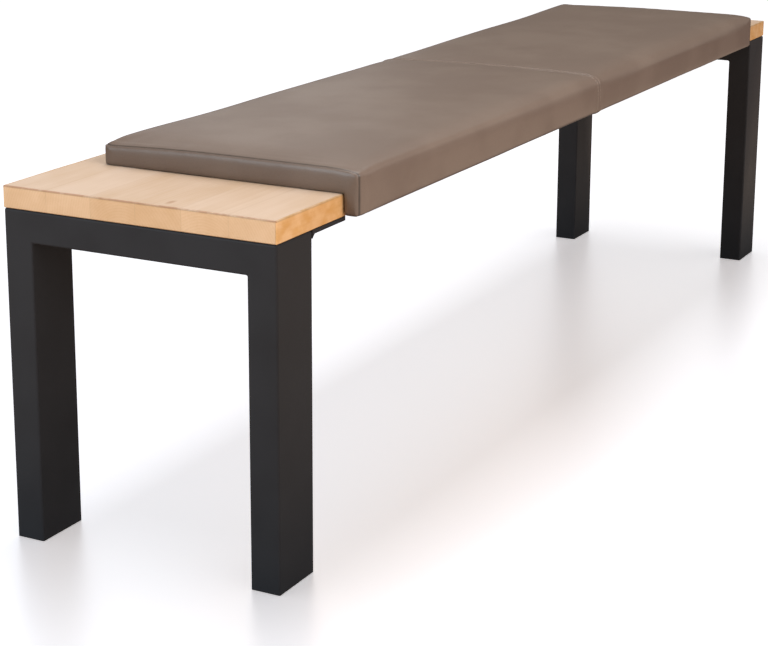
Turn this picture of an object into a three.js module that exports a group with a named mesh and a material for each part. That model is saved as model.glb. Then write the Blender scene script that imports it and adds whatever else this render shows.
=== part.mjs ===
// A long bench seat cushion whose front lip hangs over the bench top's front edge, with its bench.
// Millimetres, +Z up, the floor at z = 0. X runs along the bench and -Y is its front.
// The origin is under the middle of the whole object's box.

import * as THREE from 'three';

// Bench top: a solid board.
const BOARD_LENGTH = 1800;
const BOARD_DEPTH = 380;
const BOARD_THICKNESS = 28;
const BOARD_TOP_HEIGHT = 450;
const BOARD_EDGE_ROUND = 1.5;

// Frames: rectangular tube, flush with the board's ends, front and back.
const TUBE_WIDE = 80;
const TUBE_NARROW = 40;
const TUBE_CORNER = 3;
const PLATE_REACH = 80;
const PLATE_THICKNESS = 5;

// Touching pieces stand this far apart.
const FIT_GAP = 0.3;

// Cushion: outer sizes, measured from the board's top front edge.
const CUSHION_LENGTH = 1500;
const CUSHION_BACK_MARGIN = 41;
const LIP_PROUD = 26;
const LIP_CLEARANCE = 2;
const LIP_DROP = 22.5;

// Height of the cushion's top at its front and back edges, and what its crown adds between them.
const TOP_FRONT = 31.5;
const TOP_BACK = 30.5;
const TOP_CROWN = 3.5;
const HALF_CROWN = 1.2;

// Rounded edges of the cushion's section, and how far its faces swell.
const FRONT_ROLL = 12;
const BACK_ROLL = 6;
const LIP_ROLL = 6;
const UNDER_ROLL = 5;
const FACE_SWELL = 1.2;

// The top falls towards the end seams, and the sewn channel pulls the cover in at mid-length.
const END_FALL = 2.8;
const END_REACH = 32;
const CHANNEL_DEPTH = 2.4;
const CHANNEL_REACH = 6;
const CHANNEL_SAG = 1.3;
const CHANNEL_SAG_REACH = 50;

// The sides draw in between the corners.
const SIDE_DRAW_IN = 2;
const CORNER_REACH = 90;

// End panels: rows from the seam side outwards, as distance out and how far the outline steps in.
const END_PANEL_ROWS = [
  { out: 0, inset: 0.3 },
  { out: 1.0, inset: 0 },
  { out: 2.2, inset: 0.6 },
  { out: 3.1, inset: 1.8 },
  { out: 3.6, inset: 3.8 },
];

const halfLength = BOARD_LENGTH / 2;
const boardFront = (LIP_PROUD - BOARD_DEPTH) / 2;
const boardBack = boardFront + BOARD_DEPTH;
const boardUnderside = BOARD_TOP_HEIGHT - BOARD_THICKNESS;
const frameTop = boardUnderside - FIT_GAP;
const endPanelThickness = END_PANEL_ROWS[END_PANEL_ROWS.length - 1].out;
const bodyHalf = CUSHION_LENGTH / 2 - endPanelThickness - FIT_GAP;

const oak = new THREE.MeshStandardMaterial({ color: 0xdcb588, roughness: 0.55, metalness: 0 });
const steelCoat = new THREE.MeshStandardMaterial({ color: 0x2e2c2d, roughness: 0.5, metalness: 0.2 });
const leatherette = new THREE.MeshStandardMaterial({ color: 0x80705f, roughness: 0.48, metalness: 0 });

function piece(name, geometry, material) {
  const mesh = new THREE.Mesh(geometry, material);
  mesh.name = name;
  return mesh;
}

function roundedRectangle(width, height, radius) {
  const x = width / 2 - radius;
  const y = height / 2 - radius;
  const shape = new THREE.Shape();
  shape.absarc(x, -y, radius, -Math.PI / 2, 0);
  shape.absarc(x, y, radius, 0, Math.PI / 2);
  shape.absarc(-x, y, radius, Math.PI / 2, Math.PI);
  shape.absarc(-x, -y, radius, Math.PI, Math.PI * 1.5);
  return shape;
}

function benchTop() {
  const round = BOARD_EDGE_ROUND;
  const shape = roundedRectangle(BOARD_LENGTH - 2 * round, BOARD_DEPTH - 2 * round, round);
  const geometry = new THREE.ExtrudeGeometry(shape, {
    depth: BOARD_THICKNESS - 2 * round,
    bevelThickness: round,
    bevelSize: round,
    bevelSegments: 2,
    curveSegments: 2,
  });
  const mesh = piece('bench_top', geometry, oak);
  mesh.position.set(0, (boardFront + boardBack) / 2, boardUnderside + round);
  return mesh;
}

// A bar of the tube's section, its length along the local Z axis.
function tubeBar(name, length) {
  const shape = roundedRectangle(TUBE_WIDE, TUBE_NARROW, TUBE_CORNER);
  const geometry = new THREE.ExtrudeGeometry(shape, { depth: length, bevelEnabled: false, curveSegments: 3 });
  return piece(name, geometry, steelCoat);
}

// One frame, modelled at x = 0 with the bench's middle on its +X side.
function frame(side) {
  const group = new THREE.Group();
  const legY = { front: boardFront + TUBE_NARROW / 2, back: boardBack - TUBE_NARROW / 2 };
  for (const [place, y] of Object.entries(legY)) {
    const leg = tubeBar(`leg_${side}_${place}`, frameTop);
    leg.position.set(0, y, 0);
    group.add(leg);
  }

  const beamLength = BOARD_DEPTH - 2 * TUBE_NARROW - 2 * FIT_GAP;
  const beam = tubeBar(`beam_${side}`, beamLength);
  beam.rotation.x = -Math.PI / 2;
  beam.position.set(0, boardFront + TUBE_NARROW + FIT_GAP, frameTop - TUBE_NARROW / 2);
  group.add(beam);

  const inward = side === 'left' ? 1 : -1;
  const plateWidth = PLATE_REACH - FIT_GAP;
  const plateBox = new THREE.BoxGeometry(plateWidth, BOARD_DEPTH, PLATE_THICKNESS);
  const plate = piece(`plate_${side}`, plateBox, steelCoat);
  const plateX = inward * (TUBE_WIDE / 2 + FIT_GAP + plateWidth / 2);
  plate.position.set(plateX, (boardFront + boardBack) / 2, frameTop - PLATE_THICKNESS / 2);
  group.add(plate);

  group.position.x = -inward * (halfLength - TUBE_WIDE / 2);
  return group;
}

function arc(y, z, radius, fromDegrees, toDegrees, steps) {
  const points = [];
  for (let i = 0; i <= steps; i += 1) {
    const angle = THREE.MathUtils.degToRad(fromDegrees + ((toDegrees - fromDegrees) * i) / steps);
    points.push([y + radius * Math.cos(angle), z + radius * Math.sin(angle)]);
  }
  return points;
}

// Points strictly between two ends, bowed sideways by up to swell in the middle.
function stretch(from, to, swell, steps) {
  const points = [];
  const length = Math.hypot(to[0] - from[0], to[1] - from[1]);
  const outY = (to[1] - from[1]) / length;
  const outZ = -(to[0] - from[0]) / length;
  for (let i = 1; i < steps; i += 1) {
    const t = i / steps;
    const bow = swell * Math.sin(Math.PI * t);
    const y = THREE.MathUtils.lerp(from[0], to[0], t) + bow * outY;
    const z = THREE.MathUtils.lerp(from[1], to[1], t) + bow * outZ;
    points.push([y, z]);
  }
  return points;
}

const bell = (distance, reach) => Math.exp(-((distance / reach) ** 2));

// How far the cover lies below its full height at x: the round fall to the end seam and the channel.
function coverFall(x) {
  const near = THREE.MathUtils.clamp(1 - (bodyHalf - Math.abs(x)) / END_REACH, 0, 1);
  const end = END_FALL * (1 - Math.sqrt(1 - near * near));
  const channel = CHANNEL_DEPTH * bell(x, CHANNEL_REACH) + CHANNEL_SAG * bell(x, CHANNEL_SAG_REACH);
  return end + channel;
}

// The L-shaped section at x, counterclockwise seen from +X, measured from the board's top front edge.
function cushionSection(x) {
  const alongHalf = (2 * Math.abs(x)) / bodyHalf - 1;
  const drawIn = SIDE_DRAW_IN * (1 - bell(bodyHalf - Math.abs(x), CORNER_REACH));
  const fall = coverFall(x);
  const lift = HALF_CROWN * (1 - alongHalf * alongHalf) - fall;

  const front = -LIP_PROUD + FACE_SWELL + drawIn / 4 + fall / 3;
  const inner = -LIP_CLEARANCE;
  const back = BOARD_DEPTH - CUSHION_BACK_MARGIN - FACE_SWELL - drawIn - fall / 3;
  const lipBottom = -LIP_DROP + drawIn / 4;

  const topAt = (y) => {
    const t = (y - front) / (back - front);
    return THREE.MathUtils.lerp(TOP_FRONT, TOP_BACK, t) + TOP_CROWN * 4 * t * (1 - t) + lift;
  };

  const backRollY = back - BACK_ROLL;
  const frontRollY = front + FRONT_ROLL;
  const backRollZ = topAt(backRollY) - BACK_ROLL;
  const frontRollZ = topAt(frontRollY) - FRONT_ROLL;

  const topSteps = 18;
  const top = [];
  for (let i = 1; i < topSteps; i += 1) {
    const y = THREE.MathUtils.lerp(backRollY, frontRollY, i / topSteps);
    top.push([y, topAt(y)]);
  }

  const underEnd = [back - UNDER_ROLL, FIT_GAP];
  return [
    [inner, FIT_GAP],
    ...stretch([inner, FIT_GAP], underEnd, 0, 8),
    ...arc(underEnd[0], FIT_GAP + UNDER_ROLL, UNDER_ROLL, -90, 0, 3),
    ...stretch([back, FIT_GAP + UNDER_ROLL], [back, backRollZ], FACE_SWELL, 4),
    ...arc(backRollY, backRollZ, BACK_ROLL, 0, 90, 4),
    ...top,
    ...arc(frontRollY, frontRollZ, FRONT_ROLL, 90, 180, 6),
    ...stretch([front, frontRollZ], [front, lipBottom + LIP_ROLL], FACE_SWELL, 6),
    ...arc(front + LIP_ROLL, lipBottom + LIP_ROLL, LIP_ROLL, 180, 270, 4),
    ...arc(inner - LIP_ROLL, lipBottom + LIP_ROLL, LIP_ROLL, 270, 360, 4),
    ...stretch([inner, lipBottom + LIP_ROLL], [inner, FIT_GAP], 0, 3),
  ];
}

// Moves each point of a closed outline inwards, along the mean of its two sides' normals.
function insetOutline(outline, distance) {
  return outline.map((point, i) => {
    const before = outline[(i + outline.length - 1) % outline.length];
    const after = outline[(i + 1) % outline.length];
    const along = new THREE.Vector2(after[0] - before[0], after[1] - before[1]).normalize();
    return [point[0] - along.y * distance, point[1] + along.x * distance];
  });
}

// Joins outlines of equal point counts, ordered along +X, into one closed solid.
function loft(rings) {
  const count = rings[0].outline.length;
  const positions = [];
  for (const { x, outline } of rings) {
    for (const [y, z] of outline) {
      positions.push(x, boardFront + y, BOARD_TOP_HEIGHT + z);
    }
  }

  const triangles = [];
  for (let r = 0; r + 1 < rings.length; r += 1) {
    for (let i = 0; i < count; i += 1) {
      const a = r * count + i;
      const b = r * count + ((i + 1) % count);
      triangles.push(a, b, a + count, b, b + count, a + count);
    }
  }

  for (const r of [0, rings.length - 1]) {
    const contour = rings[r].outline.map(([y, z]) => new THREE.Vector2(y, z));
    for (const [a, b, c] of THREE.ShapeUtils.triangulateShape(contour, [])) {
      const cap = r === 0 ? [c, b, a] : [a, b, c];
      triangles.push(...cap.map((i) => r * count + i));
    }
  }

  const geometry = new THREE.BufferGeometry();
  geometry.setAttribute('position', new THREE.Float32BufferAttribute(positions, 3));
  geometry.setIndex(triangles);
  geometry.computeVertexNormals();
  return geometry;
}

// Places of the body's sections on its +X half: close together at the channel and at the end.
function sectionPlaces() {
  const channel = [0, 2, 4, 6, 9, 13, 20, 32, 50, 75, 105];
  const plain = [];
  const plainSteps = 9;
  for (let i = 1; i < plainSteps; i += 1) {
    plain.push(THREE.MathUtils.lerp(105, bodyHalf - END_REACH, i / plainSteps));
  }
  const end = [1, 0.75, 0.5, 0.3, 0.15, 0.05, 0].map((share) => bodyHalf - END_REACH * share);
  return [...channel, ...plain, ...end];
}

function cushionBody() {
  const right = sectionPlaces();
  const left = right.slice(1).reverse().map((x) => -x);
  const rings = [...left, ...right].map((x) => ({ x, outline: cushionSection(x) }));
  return piece('cushion_body', loft(rings), leatherette);
}

function cushionEnd(side) {
  const outline = cushionSection(bodyHalf);
  const inner = CUSHION_LENGTH / 2 - endPanelThickness;
  const outward = END_PANEL_ROWS.map(({ out, inset }) => ({
    x: inner + out,
    outline: insetOutline(outline, inset),
  }));
  const rings = side === 'right' ? outward : outward.map((ring) => ({ ...ring, x: -ring.x })).reverse();
  return piece(`cushion_end_${side}`, loft(rings), leatherette);
}

const bench = new THREE.Group();
bench.add(benchTop());
for (const side of ['left', 'right']) {
  bench.add(frame(side));
}

const cushion = new THREE.Group();
cushion.add(cushionBody());
for (const side of ['left', 'right']) {
  cushion.add(cushionEnd(side));
}

const object = new THREE.Group();
object.add(bench, cushion);

export default object;
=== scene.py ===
# A long bench cushion in taupe leatherette, whose short lip hangs over the front edge of a wooden bench
# on two welded tube frames. Metres, +Z up, the floor at z = 0, X along the bench and -Y its front.

import math

import bmesh
import bpy
from mathutils import Matrix, Vector, kdtree, noise


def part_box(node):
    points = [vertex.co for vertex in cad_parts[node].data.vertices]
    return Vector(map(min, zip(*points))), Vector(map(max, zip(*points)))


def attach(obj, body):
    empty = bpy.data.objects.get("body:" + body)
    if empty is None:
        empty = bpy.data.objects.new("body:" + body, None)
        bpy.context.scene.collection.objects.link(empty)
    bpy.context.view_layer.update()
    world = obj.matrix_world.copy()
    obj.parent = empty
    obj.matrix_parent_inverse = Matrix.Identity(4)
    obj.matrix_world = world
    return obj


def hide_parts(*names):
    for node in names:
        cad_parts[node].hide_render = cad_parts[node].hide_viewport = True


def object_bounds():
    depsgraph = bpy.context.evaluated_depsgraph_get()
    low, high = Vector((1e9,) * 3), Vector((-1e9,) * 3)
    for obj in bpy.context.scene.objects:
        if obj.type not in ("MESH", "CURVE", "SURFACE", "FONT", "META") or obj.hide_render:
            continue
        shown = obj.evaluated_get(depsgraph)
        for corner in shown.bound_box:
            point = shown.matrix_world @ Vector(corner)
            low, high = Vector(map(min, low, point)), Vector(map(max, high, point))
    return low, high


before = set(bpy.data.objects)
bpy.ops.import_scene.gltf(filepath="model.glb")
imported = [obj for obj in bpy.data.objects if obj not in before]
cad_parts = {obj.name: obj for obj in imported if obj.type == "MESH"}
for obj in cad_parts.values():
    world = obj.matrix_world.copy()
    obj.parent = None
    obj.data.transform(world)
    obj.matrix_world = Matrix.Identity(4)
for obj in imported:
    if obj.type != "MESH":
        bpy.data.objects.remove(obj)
cad_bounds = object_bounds()


# Camera: it looks along the bench from in front of its near end, a little above the cushion.
# The small shift takes in the floor at the near feet without tilting the view further down.
CAMERA_PLACE = (-2.7356, -1.2732, 0.9767)
CAMERA_HEADING = math.radians(27.65)
CAMERA_TILT = math.radians(-14.129)
CAMERA_ROLL = math.radians(0.229)
CAMERA_LENS = 92.98
CAMERA_SHIFT_UP = -0.12

bpy.ops.object.select_all(action="DESELECT")
bpy.ops.object.camera_add(location=CAMERA_PLACE)
camera = bpy.context.object
camera_heading = Matrix.Rotation(CAMERA_HEADING - math.pi / 2, 3, "Z")
camera_tilt = Matrix.Rotation(CAMERA_TILT + math.pi / 2, 3, "X")
camera_roll = Matrix.Rotation(CAMERA_ROLL, 3, "Z")
camera.rotation_euler = (camera_heading @ camera_tilt @ camera_roll).to_euler()
camera.data.lens = CAMERA_LENS
camera.data.shift_y = CAMERA_SHIFT_UP
bpy.context.scene.camera = camera


# Floor and light: a white studio floor, whose little gloss shows the feet's soft reflections, in a pale
# room whose front wall is bright. A wide lamp above leaves the soft shadow between the legs. One lights
# the cushion's front, a cool one stands beyond the near end, and a weak one behind the far end.
FLOOR_SIZE = 60
FLOOR_WHITE = (0.46, 0.45, 0.46, 1)
FLOOR_GLOSS = (0.85, 1.0, 1.2, 1)
FLOOR_ROUGHNESS = 0.34
FLOOR_GLOW_NEAR = (0.385, 0.37, 0.37, 1)
FLOOR_GLOW_FAR = (0.62, 0.60, 0.60, 1)
GLOW_NEAR_TO, GLOW_FAR_FROM = 0.6, 1.9
FLOOR_BOUNCE = (0.25, 0.25, 0.25, 1)
FLOOR_WARMTH_NEAR = (0.54, 0.38, 0.26, 1)
FLOOR_WARMTH_FAR = (0.10, 0.04, 0.03, 1)
WARM_TO, WARM_END = 0.8, 3.2
SHADE_REACH = 0.55
NOTHING = (0, 0, 0, 1)
BACKDROP_WHITE, BACKDROP_STRENGTH = (1, 1, 1, 1), 1.2
CEILING = (0.20, 0.195, 0.185, 1)
FOOT_TO, WALL_FROM, CEILING_FROM = 0.10, 0.30, 0.9
LEAST_LEVEL = 0.0001
room_sides = [
    {"axis": "X", "way": 1, "foot": NOTHING, "wall": (0.45, 0.38, 0.31, 1)},
    {"axis": "X", "way": -1, "foot": (0.02, 0.025, 0.03, 1), "wall": (0.03, 0.04, 0.06, 1)},
    {"axis": "Y", "way": 1, "foot": (0.435, 0.44, 0.445, 1), "wall": (0.45, 0.457, 0.465, 1)},
    {"axis": "Y", "way": -1, "foot": (0.62, 0.60, 0.58, 1), "wall": (1.96, 1.93, 1.90, 1)},
]
softboxes = [
    {"at": (-0.1, 0.12, 2.6), "aim": (-0.1, 0.1, 0), "size": (3.2, 0.8), "watts": 46, "tint": (1, 1, 1)},
    {"at": (-1.3, -2.2, 1.7), "aim": (-0.3, -0.2, 0.4), "size": (2.0, 1.2), "watts": 63, "tint": (1, 1, 1)},
    {"at": (-3.2, 1, 1.5), "aim": (-0.7, 0, 0.45), "size": (1.4, 1.2), "watts": 30, "tint": (0.80, 1, 1.13)},
    {"at": (2.4, 2.6, 1.5), "aim": (-0.6, 0, 0.48), "size": (2.2, 1.4), "watts": 5, "tint": (1, 1, 1)},
]


def add_node(tree, kind, inputs=None, **settings):
    """Adds a node. An input is a value, or a socket of another node that it is linked to."""
    made = tree.nodes.new(kind)
    for name, value in settings.items():
        setattr(made, name, value)
    for name, value in (inputs or {}).items():
        if isinstance(value, bpy.types.NodeSocket):
            tree.links.new(value, made.inputs[name])
        else:
            made.inputs[name].default_value = value
    return made


def new_material(name, **values):
    """A new material with these values on its Principled shader, and its node tree and shader."""
    made = bpy.data.materials.new(name)
    made.use_nodes = True
    shader = made.node_tree.nodes["Principled BSDF"]
    for socket, value in values.items():
        shader.inputs[socket.replace("_", " ")].default_value = value
    return made, made.node_tree, shader


def ramp(tree, factor, stops):
    """A colour ramp's output colour. Stops are (position, colour)."""
    made = add_node(tree, "ShaderNodeValToRGB", {"Fac": factor})
    elements = made.color_ramp.elements
    while len(elements) < len(stops):
        elements.new(0.5)
    for element, (position, colour) in zip(elements, stops):
        element.position = position
        element.color = colour
    return made.outputs["Color"]


def math_node(tree, operation, *values):
    """A Math node's output. Values are numbers or sockets."""
    return add_node(tree, "ShaderNodeMath", dict(enumerate(values)), operation=operation).outputs[0]


def vector_node(tree, operation, output, *values):
    """A Vector Math node's output of this name."""
    made = add_node(tree, "ShaderNodeVectorMath", dict(enumerate(values)), operation=operation)
    return made.outputs[output]


def spread(tree, value, low, high, new_low=0.0, new_high=1.0):
    """Takes a value from one range to another, smoothly and clamped."""
    inputs = {"Value": value, 1: low, 2: high, 3: new_low, 4: new_high}
    made = add_node(tree, "ShaderNodeMapRange", inputs, interpolation_type="SMOOTHSTEP")
    return made.outputs["Result"]


def blend_colour(tree, factor, first, second, blend_type="MIX"):
    """Mixes two colours, or adds or multiplies the second to the first."""
    inputs = {0: factor, 6: first, 7: second}
    return add_node(tree, "ShaderNodeMix", inputs, data_type="RGBA", blend_type=blend_type).outputs[2]


bpy.ops.mesh.primitive_plane_add(size=FLOOR_SIZE)
floor = bpy.context.object
floor.name = "floor"
floor_material, floor_tree, floor_shader = new_material(
    "studio_floor", Base_Color=FLOOR_WHITE, Specular_IOR_Level=0, Emission_Strength=1
)
floor_point = add_node(floor_tree, "ShaderNodeTexCoord").outputs["Object"]
from_bench = vector_node(floor_tree, "LENGTH", "Value", floor_point)
farness = spread(floor_tree, from_bench, GLOW_NEAR_TO, GLOW_FAR_FROM)
floor_glow = blend_colour(floor_tree, farness, FLOOR_GLOW_NEAR, FLOOR_GLOW_FAR)
floor_tree.links.new(floor_glow, floor_shader.inputs["Emission Color"])
polish = add_node(floor_tree, "ShaderNodeBsdfGlossy", {"Color": FLOOR_GLOSS, "Roughness": FLOOR_ROUGHNESS})
polished = add_node(floor_tree, "ShaderNodeAddShader", {0: floor_shader.outputs[0], 1: polish.outputs[0]})

floor_split = add_node(floor_tree, "ShaderNodeSeparateXYZ", {"Vector": floor_point}).outputs


def past(axis, reach):
    """How far a point of the floor lies past the bench, whose own reach along this axis is given."""
    return math_node(floor_tree, "SUBTRACT", math_node(floor_tree, "ABSOLUTE", floor_split[axis]), reach)


# What the bench itself is lit by: a duller floor, whose warm glow fades under the bench and at its far end.
warm_end = spread(floor_tree, floor_split["X"], WARM_TO, WARM_END)
warmth = blend_colour(floor_tree, warm_end, FLOOR_WARMTH_NEAR, FLOOR_WARMTH_FAR)
past_bench = math_node(floor_tree, "MAXIMUM", past("X", cad_bounds[1][0]), past("Y", cad_bounds[1][1]))
unshaded = spread(floor_tree, past_bench, 0.0, SHADE_REACH)
warmth = blend_colour(floor_tree, unshaded, NOTHING, warmth)
warm_glow = add_node(floor_tree, "ShaderNodeEmission", {"Color": warmth, "Strength": 1.0})
bounce = add_node(floor_tree, "ShaderNodeBsdfDiffuse", {"Color": FLOOR_BOUNCE})
lighting = add_node(floor_tree, "ShaderNodeAddShader", {0: bounce.outputs[0], 1: warm_glow.outputs[0]})
seen = add_node(floor_tree, "ShaderNodeLightPath").outputs["Is Camera Ray"]
shown = add_node(
    floor_tree, "ShaderNodeMixShader", {0: seen, 1: lighting.outputs[0], 2: polished.outputs[0]}
)
floor_tree.links.new(shown.outputs[0], floor_tree.nodes["Material Output"].inputs["Surface"])
floor.data.materials.append(floor_material)

# The room: a ceiling and four walls that fade into each other. The camera sees a white backdrop instead.
studio = bpy.data.worlds.new("studio")
studio.use_nodes = True
bpy.context.scene.world = studio
studio_tree = studio.node_tree
studio_tree.nodes.clear()
direction = add_node(studio_tree, "ShaderNodeTexCoord").outputs["Generated"]
toward = add_node(studio_tree, "ShaderNodeSeparateXYZ", {"Vector": direction}).outputs
height_part = math_node(studio_tree, "POWER", toward["Z"], 2.0)
level_part = math_node(studio_tree, "SUBTRACT", 1.0, height_part)
level_part = math_node(studio_tree, "MAXIMUM", level_part, LEAST_LEVEL)
room = ramp(studio_tree, toward["Z"], [(0.0, NOTHING), (WALL_FROM, NOTHING), (CEILING_FROM, CEILING)])
for side in room_sides:
    wall = ramp(
        studio_tree,
        toward["Z"],
        [(0.0, side["foot"]), (FOOT_TO, side["foot"]), (WALL_FROM, side["wall"]), (CEILING_FROM, NOTHING)],
    )
    way = math_node(studio_tree, "MULTIPLY", toward[side["axis"]], float(side["way"]))
    facing = math_node(studio_tree, "POWER", math_node(studio_tree, "MAXIMUM", way, 0.0), 2.0)
    share = math_node(studio_tree, "DIVIDE", facing, level_part)
    lit_wall = blend_colour(studio_tree, share, NOTHING, wall)
    room = blend_colour(studio_tree, 1.0, room, lit_wall, "ADD")
surround = add_node(studio_tree, "ShaderNodeBackground", {"Color": room})
backdrop = add_node(
    studio_tree, "ShaderNodeBackground", {"Color": BACKDROP_WHITE, "Strength": BACKDROP_STRENGTH}
)
seen = add_node(studio_tree, "ShaderNodeLightPath").outputs["Is Camera Ray"]
shown = add_node(
    studio_tree, "ShaderNodeMixShader", {0: seen, 1: surround.outputs[0], 2: backdrop.outputs[0]}
)
add_node(studio_tree, "ShaderNodeOutputWorld", {"Surface": shown.outputs[0]})


def shade_from(lamp, piece):
    """Keeps a lamp's light off a piece, as a flag in front of the lamp does."""
    if not lamp.light_linking.receiver_collection:
        lamp.light_linking.receiver_collection = bpy.data.collections.new("shaded_from_" + lamp.name)
    shaded = lamp.light_linking.receiver_collection
    shaded.objects.link(piece)
    shaded.collection_objects[-1].light_linking.link_state = "EXCLUDE"


lamps = []
for softbox in softboxes:
    bpy.ops.object.light_add(type="AREA", location=softbox["at"])
    lamp = bpy.context.object
    aim = Vector(softbox["aim"]) - Vector(softbox["at"])
    lamp.rotation_euler = aim.to_track_quat("-Z", "Y").to_euler()
    lamp.data.shape = "RECTANGLE"
    lamp.data.size, lamp.data.size_y = softbox["size"]
    lamp.data.energy = softbox["watts"]
    lamp.data.color = softbox["tint"]
    lamps.append(lamp)

# Only the first lamp lights the floor, so that the bench has one shadow.
for lamp in lamps[1:]:
    shade_from(lamp, floor)
bpy.context.scene.view_settings.view_transform = "Standard"


# Bench top: one solid board, glued up from six long staves, its edges eased by hand and oiled.
# The front face is painted deeper and darker and the top greyer: painted shade and painted sheen for how the
# light falls on them.
BOARD_EASE = 0.0016
BOARD_CELLS = 36
BOARD_WAVER = 0.0005
BOARD_SEED = 5
WAVERS_A_METRE = 9
STAVES = 6
RINGS_A_METRE = 290
RING_SWAY = 0.035
HEART_Y = (-0.08, 0.08)
HEART_Z = (0.33, 0.43)
STAVE_LIGHT = (0.905, 0.605, 0.379, 1)
STAVE_DARK = (0.747, 0.447, 0.232, 1)
# Painted light on the board: the front face made deeper and darker (painted shade), the top greyer (painted
# sheen).
FRONT_PAINTED_SHADE = (0.701, 0.552, 0.302, 1)
TOP_PAINTED_SHEEN = (0.63, 0.705, 0.862, 1)
END_EDGE_DARKER = (0.76, 0.60, 0.50, 1)
# How far in from the front face and the top the painted shade and sheen reach.
PAINTED_FACE_FROM, PAINTED_FACE_TO = 0.0006, 0.003
KNOT_PLACE = (-0.880, -0.024)
KNOT_SQUEEZE = (0.45, 1.0, 0.6)
KNOT_CORE, KNOT_REACH = 0.0010, 0.0060
KNOT_COLOUR = (0.50, 0.24, 0.10, 1)
GLUE_COLOUR = (0.42, 0.27, 0.16, 1)
board_low, board_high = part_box("bench_top")


def activate(piece):
    """Selects this piece alone and makes it the active one."""
    bpy.ops.object.select_all(action="DESELECT")
    piece.select_set(True)
    bpy.context.view_layer.objects.active = piece


def add_block(name, low, high):
    """A block between two corners, ready to be shaped."""
    bpy.ops.object.select_all(action="DESELECT")
    bpy.ops.mesh.primitive_cube_add(size=1, location=(low + high) / 2)
    made = bpy.context.object
    made.name = name
    made.scale = high - low
    bpy.ops.object.transform_apply()
    return made


def modify(piece, kind, **settings):
    """Adds a modifier with these settings and applies it."""
    modifier = piece.modifiers.new(kind, kind)
    for name, value in settings.items():
        setattr(modifier, name, value)
    activate(piece)
    bpy.ops.object.modifier_apply(modifier=modifier.name)


def edit(piece):
    """Opens this piece in edit mode with all of it selected."""
    activate(piece)
    bpy.ops.object.mode_set(mode="EDIT")
    bpy.ops.mesh.select_all(action="SELECT")


def leave_edit():
    """Goes back to object mode."""
    bpy.ops.object.mode_set(mode="OBJECT")


def cut(places, normal):
    """In edit mode, cuts everything by planes through these places along a normal."""
    for place in places:
        bpy.ops.mesh.select_all(action="SELECT")
        bpy.ops.mesh.bisect(plane_co=[place * n for n in normal], plane_no=normal)


def between(start, end, count):
    """Places that part the stretch from start to end into count equal lengths."""
    return [start + (end - start) * i / count for i in range(1, count)]


def finish_surface(piece, material, smooth_angle=40):
    """Smooth shading that keeps the flat faces flat, and the material."""
    activate(piece)
    bpy.ops.object.shade_smooth_by_angle(angle=math.radians(smooth_angle))
    modify(piece, "WEIGHTED_NORMAL", keep_sharp=True)
    piece.data.materials.clear()
    piece.data.materials.append(material)


board = add_block("bench_board", board_low, board_high)
edit(board)
cut(between(board_low.x, board_high.x, BOARD_CELLS), (1, 0, 0))
cut(between(board_low.y, board_high.y, STAVES), (0, 1, 0))
leave_edit()
modify(board, "BEVEL", width=BOARD_EASE, segments=4, limit_method="ANGLE")
noise.seed_set(BOARD_SEED)
for vertex in board.data.vertices:
    waver = noise.noise_vector(vertex.co * WAVERS_A_METRE) * BOARD_WAVER
    waver.z = waver.z if vertex.co.z > board_low.z + BOARD_EASE else 0
    vertex.co += waver


def object_point(tree, stretch=(1, 1, 1)):
    """The point in the piece's own metres, with each axis multiplied by stretch."""
    place = add_node(tree, "ShaderNodeTexCoord").outputs["Object"]
    mapping = add_node(tree, "ShaderNodeMapping", {"Vector": place, "Scale": stretch})
    return mapping.outputs["Vector"]


def mottle(tree, vector, scale, detail=2.0, rough=0.5):
    """Soft cloudy noise, about 0 to 1."""
    inputs = {"Vector": vector, "Scale": scale, "Detail": detail, "Roughness": rough}
    return add_node(tree, "ShaderNodeTexNoise", inputs).outputs["Fac"]


def bump(tree, height, distance, strength=1.0, below=None):
    """A Bump node's normal. Below is another bump's normal to build on."""
    inputs = {"Height": height, "Distance": distance, "Strength": strength}
    if below is not None:
        inputs["Normal"] = below
    return add_node(tree, "ShaderNodeBump", inputs).outputs["Normal"]


def new_effect(name, inputs, outputs):
    """An empty node group with these named sockets, and its input and output nodes."""
    made = bpy.data.node_groups.new(name, "ShaderNodeTree")
    for socket, kind in inputs.items():
        made.interface.new_socket(socket, in_out="INPUT", socket_type="NodeSocket" + kind)
    for socket, kind in outputs.items():
        made.interface.new_socket(socket, in_out="OUTPUT", socket_type="NodeSocket" + kind)
    return made, made.nodes.new("NodeGroupInput").outputs, made.nodes.new("NodeGroupOutput").inputs


def cloudy_finish():
    """A finish that drifts between two colours, and its gloss with it, as oil, coats and dyes do."""
    inputs = {"Point": "Vector", "Scale": "Float", "Detail": "Float", "Light": "Color", "Dark": "Color"}
    inputs |= {"From": "Float", "To": "Float", "Smooth": "Float", "Rough": "Float"}
    made, given, results = new_effect("cloudy_finish", inputs, {"Color": "Color", "Roughness": "Float"})
    cloud = mottle(made, given["Point"], given["Scale"], given["Detail"])
    share = spread(made, cloud, given["From"], given["To"])
    made.links.new(blend_colour(made, share, given["Light"], given["Dark"]), results["Color"])
    gloss = spread(made, cloud, 0.0, 1.0, given["Smooth"], given["Rough"])
    made.links.new(gloss, results["Roughness"])
    return made


def place_effect(tree, effect, **values):
    """Puts a node group into a material with these values. Gives its outputs."""
    return add_node(tree, "ShaderNodeGroup", values, node_tree=effect).outputs


CLOUDY = cloudy_finish()


def flat_length(tree, first, second):
    """The length of a flat vector with these two parts."""
    squares = [math_node(tree, "POWER", part, 2.0) for part in (first, second)]
    return math_node(tree, "SQRT", math_node(tree, "ADD", *squares))


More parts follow.
